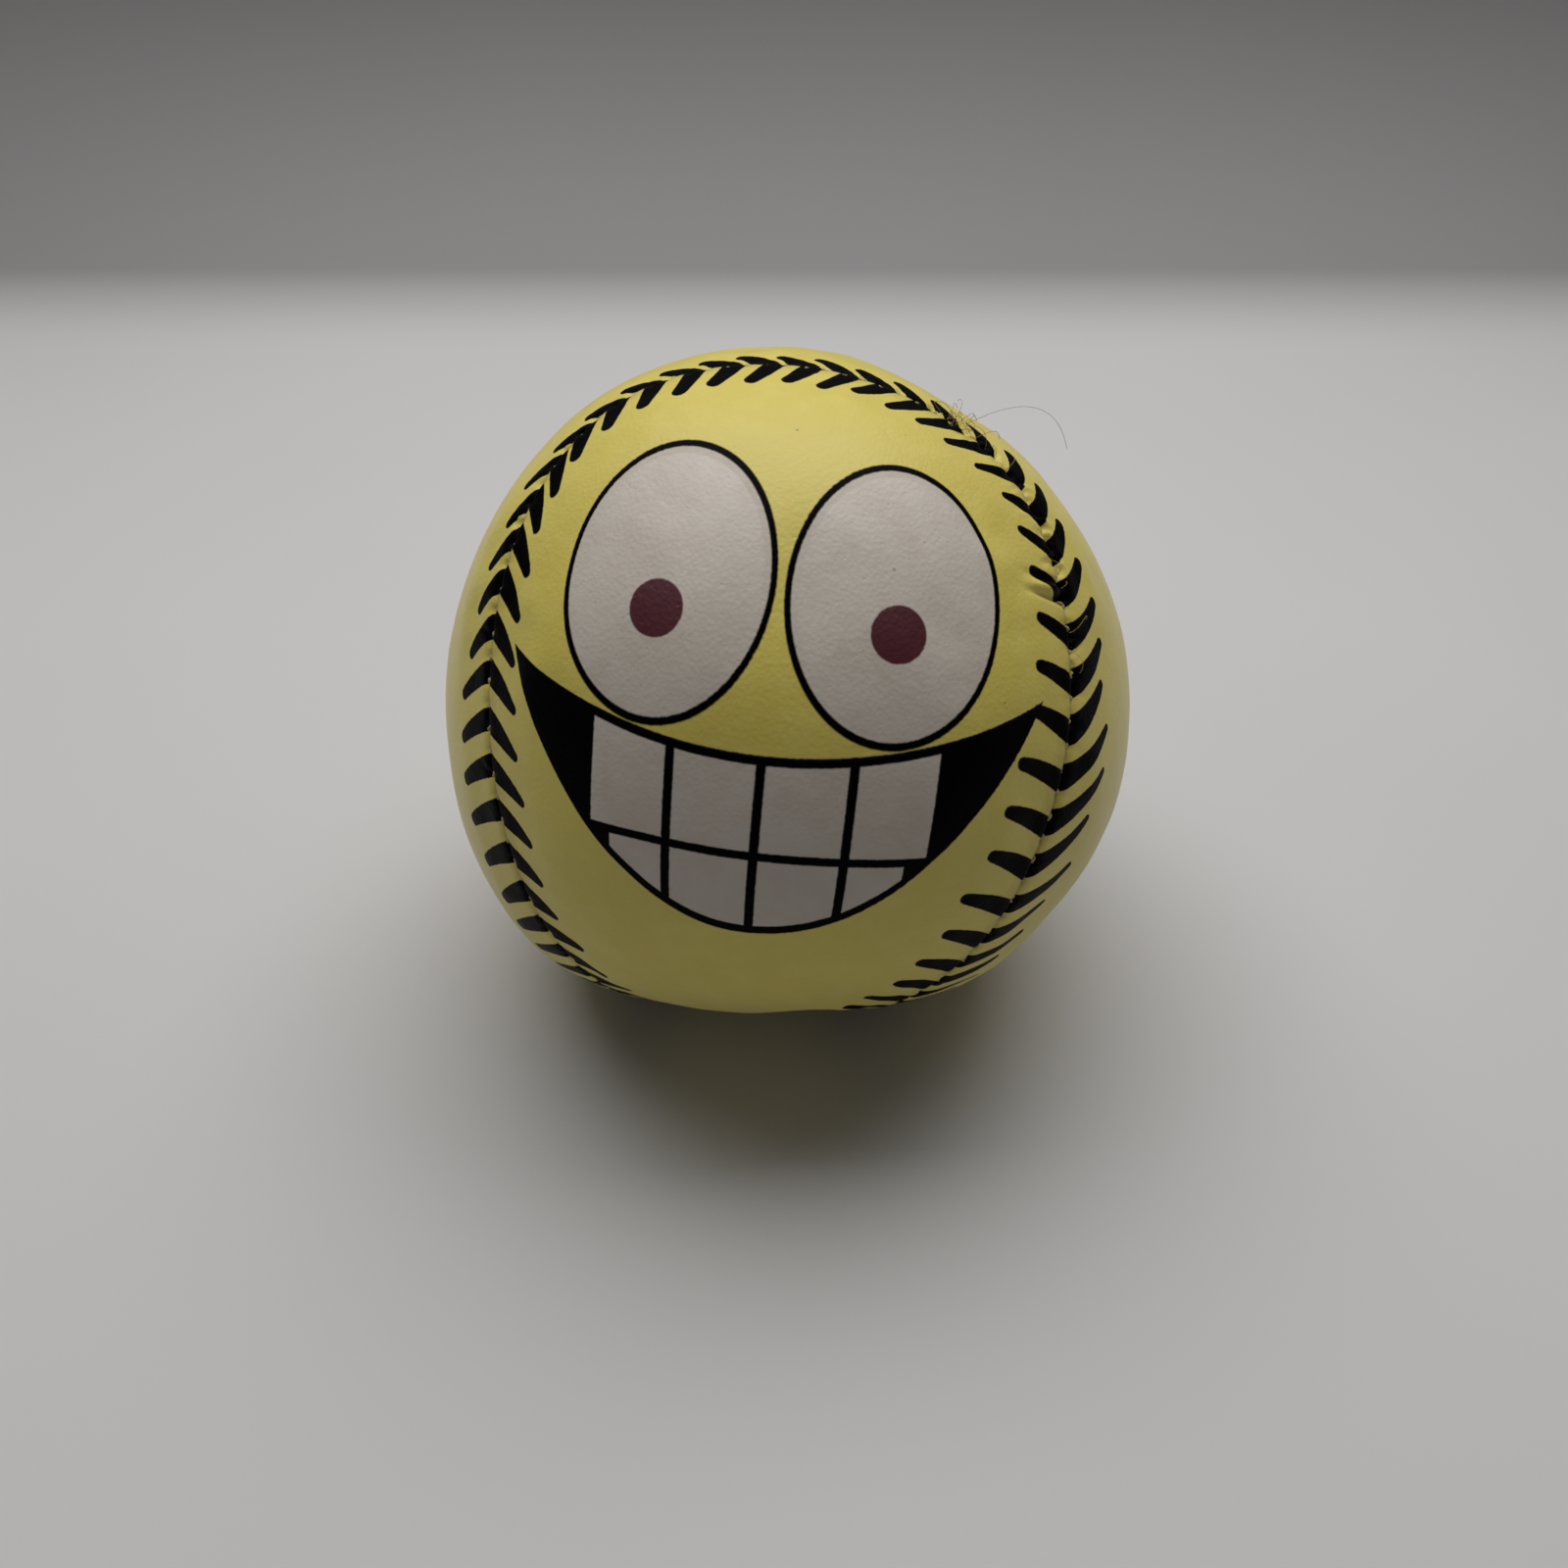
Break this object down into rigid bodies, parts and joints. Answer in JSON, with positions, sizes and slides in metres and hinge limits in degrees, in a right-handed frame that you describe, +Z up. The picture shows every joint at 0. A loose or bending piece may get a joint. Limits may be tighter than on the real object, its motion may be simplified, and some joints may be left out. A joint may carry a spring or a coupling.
{
  "type": "soft stress ball",
  "caption": "Soft fibre-filled ball of two sewn leather-like panels, resting on a small flat patch where it sags.",
  "frame": {"origin": "point of the flat contact patch straight below the ball's centre", "axes": "+Z up, the face panel's lobe looks along -Y and 20 degrees upwards, +X to the right seen from that side"},
  "size_m": [0.0947, 0.0964, 0.0925],
  "materials": {
    "face_leather": "printed pale yellow synthetic leather, soft satin sheen",
    "side_leather": "pale yellow synthetic leather, soft satin sheen",
    "knit_backing": "brushed off-white knit",
    "thread": "yellow spun polyester sewing thread",
    "fibre": "loose white polyester fibre"
  },
  "bodies": {
    "root": {"face_panel": "face_leather", "side_panel": "side_leather", "face_panel_backing": "knit_backing", "side_panel_backing": "knit_backing", "needle_thread": "thread", "bobbin_thread": "thread", "closing_thread": "thread", "fibre_stuffing": "fibre"}
  },
  "joints": []
}
